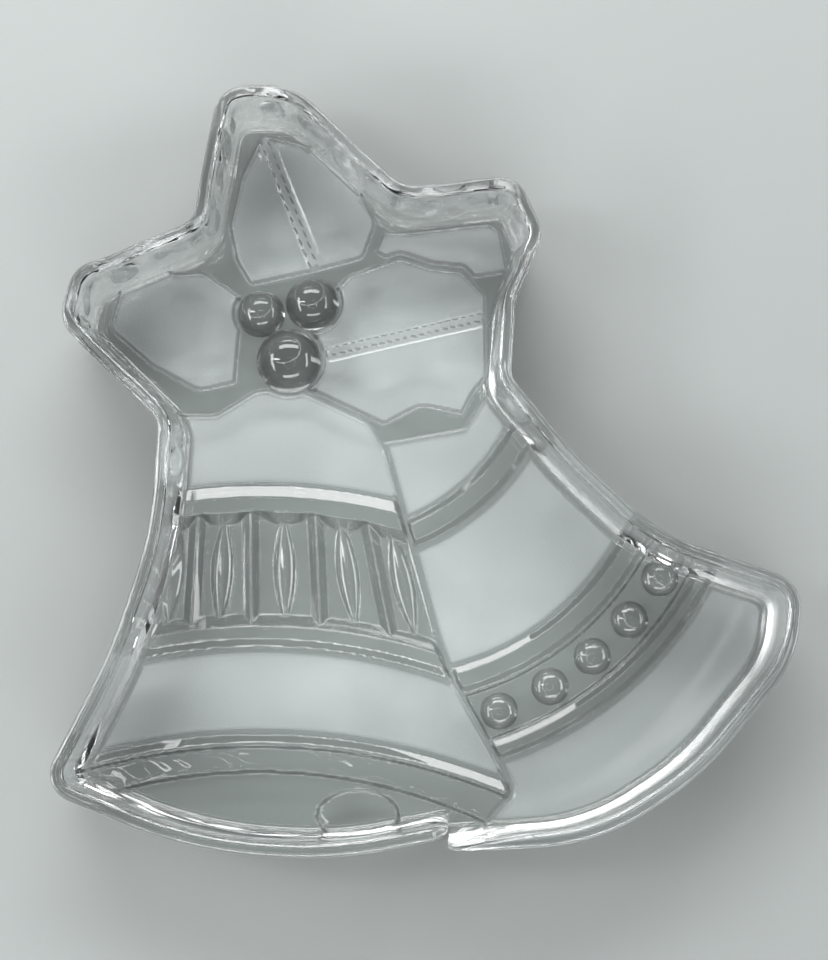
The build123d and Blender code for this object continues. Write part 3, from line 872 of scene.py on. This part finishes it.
def frosted_glass():
    material, tree, output = new_material("frosted_glass")
    clear = relief_glass_painted_shade(tree, 0.16)
    grain = noise_bump(tree, 1400.0, 0.5, 0.0002, 4.0)[0]
    satin = principled(tree, (0.95, 0.965, 0.97), 0.42, 1.0, grain)
    haze = tree.nodes.new("ShaderNodeBsdfTranslucent")
    haze.inputs[0].default_value = (0.9, 0.92, 0.93, 1)
    white = principled(tree, (0.86, 0.88, 0.89), 0.6, 0.0, grain)
    scatter = mix(tree, 0.6, haze, white)
    coordinates = tree.nodes.new("ShaderNodeTexCoord")
    mottle = tree.nodes.new("ShaderNodeTexNoise")
    mottle.inputs["Scale"].default_value = 45.0
    mottle.inputs["Detail"].default_value = 5.0
    tree.links.new(coordinates.outputs["Object"], mottle.inputs["Vector"])
    amount = tree.nodes.new("ShaderNodeMapRange")
    amount.inputs["From Min"].default_value = 0.3
    amount.inputs["From Max"].default_value = 0.7
    amount.inputs["To Min"].default_value = 0.34
    amount.inputs["To Max"].default_value = 0.56
    tree.links.new(mottle.outputs["Fac"], amount.inputs["Value"])
    body = mix(tree, amount.outputs[0], satin, scatter)
    frost = tree.nodes.new("ShaderNodeAttribute")
    frost.attribute_name = "frost"
    surface_mix = mix(tree, frost.outputs["Fac"], clear, body)
    final = lets_light_through(tree, surface_mix, (0.9, 0.92, 0.92))
    tree.links.new(final.outputs[0], output.inputs[0])
    return material


def joint_face():
    """Where two pieces of the one casting meet there is nothing to see."""
    material, tree, output = new_material("joint_face")
    shader = principled(tree, (1, 1, 1), 0.5, 0.0)
    shader.inputs["Alpha"].default_value = 0.0
    tree.links.new(shader.outputs[0], output.inputs[0])
    return material


def paper():
    material, tree, output = new_material("paper")
    bump = noise_bump(tree, 90.0, 0.1, 0.0006, 5.0)[0]
    shader = principled(tree, FLOOR_COLOUR, 0.85, 0.0, bump)
    tree.links.new(shader.outputs[0], output.inputs[0])
    return material


FLOOR_COLOUR = (0.3, 0.32, 0.315)
CLEAR_TINT = (0.975, 0.99, 0.985)
GLASS = clear_glass()
WALL_GLASS = wall_glass()
FROSTED_GLASS = frosted_glass()
JOINT = joint_face()

borders = [make_tile(name) for name in TILES]
make_walls(borders)


# ---- the studio ----

bpy.ops.mesh.primitive_plane_add(size=2.8, location=(0, 0, -0.0006))
floor = bpy.context.object
floor.name = "studio_floor"
floor.data.materials.append(paper())


LOW = 0.4      # metres


def soft_box(name, place, size, power, colour=(1, 1, 1)):
    """An area light that points at the dish. A low one is seen in reflections only, so that it
    doesn't glare through the glass from the side."""
    light = bpy.data.lights.new(name, "AREA")
    light.shape = "RECTANGLE"
    light.size, light.size_y = size
    light.energy = power
    light.color = colour
    lamp = bpy.data.objects.new(name, light)
    lamp.location = place
    lamp.rotation_euler = (-Vector(place)).to_track_quat("-Z", "Y").to_euler()
    lamp.visible_transmission = place[2] > LOW
    bpy.context.scene.collection.objects.link(lamp)


soft_box("left_soft_box", (-0.62, 0.1, 0.7), (0.1, 0.35), 1.6)
soft_box("back_panel", (-0.05, 0.8, 0.66), (1.1, 0.24), 9.0)
soft_box("front_panel", (0.1, -0.85, 0.6), (1.0, 0.16), 5.0)
soft_box("left_panel", (-0.82, -0.05, 0.5), (0.9, 0.16), 5.0)
soft_box("right_panel", (0.88, 0.1, 0.46), (0.7, 0.14), 3.0, (0.97, 0.99, 1))
soft_box("left_low_panel", (-0.95, 0, 0.14), (0.9, 0.14), 7.0)
soft_box("right_low_panel", (0.95, 0, 0.14), (0.7, 0.12), 2.0)
soft_box("back_low_panel", (0, 0.95, 0.25), (1.0, 0.24), 8.0)

bpy.ops.mesh.primitive_torus_add(major_radius=0.2, minor_radius=0.005, major_segments=96,
                                 minor_segments=12, location=(0, -0.07, 0.585))
ring_light = bpy.context.object
ring_light.name = "ring_light"
glow, tree, output = new_material("ring_glow")
emission = tree.nodes.new("ShaderNodeEmission")
emission.inputs["Strength"].default_value = 9.0
tree.links.new(emission.outputs[0], output.inputs[0])
ring_light.data.materials.append(glow)

world = bpy.data.worlds.new("studio")
world.use_nodes = True
world.node_tree.nodes["Background"].inputs[0].default_value = (0.22, 0.225, 0.225, 1)
world.node_tree.nodes["Background"].inputs[1].default_value = 1.0
bpy.context.scene.world = world

# The camera looks down on the dish, a little from the mouths' side
TILT = math.radians(7.0)
CAMERA_DISTANCE = 552.0
target = np.array([-2.0 + SHIFT[0], -2.0 + SHIFT[1], RIM_HEIGHT])
eye = target + CAMERA_DISTANCE * np.array([0, -math.sin(TILT), math.cos(TILT)])
camera_data = bpy.data.cameras.new("camera")
camera_data.sensor_fit = "VERTICAL"
camera_data.sensor_height = 24.0
camera_data.lens = 51.1
camera = bpy.data.objects.new("camera", camera_data)
camera.location = Vector(eye * MM)
camera.rotation_euler = (TILT, 0, 0)
bpy.context.scene.collection.objects.link(camera)
bpy.context.scene.camera = camera

cycles = bpy.context.scene.cycles
cycles.max_bounces = 20
cycles.transmission_bounces = 16
cycles.glossy_bounces = 6
cycles.transparent_max_bounces = 64
cycles.caustics_reflective = False
cycles.caustics_refractive = False
bpy.context.scene.view_settings.view_transform = "Standard"
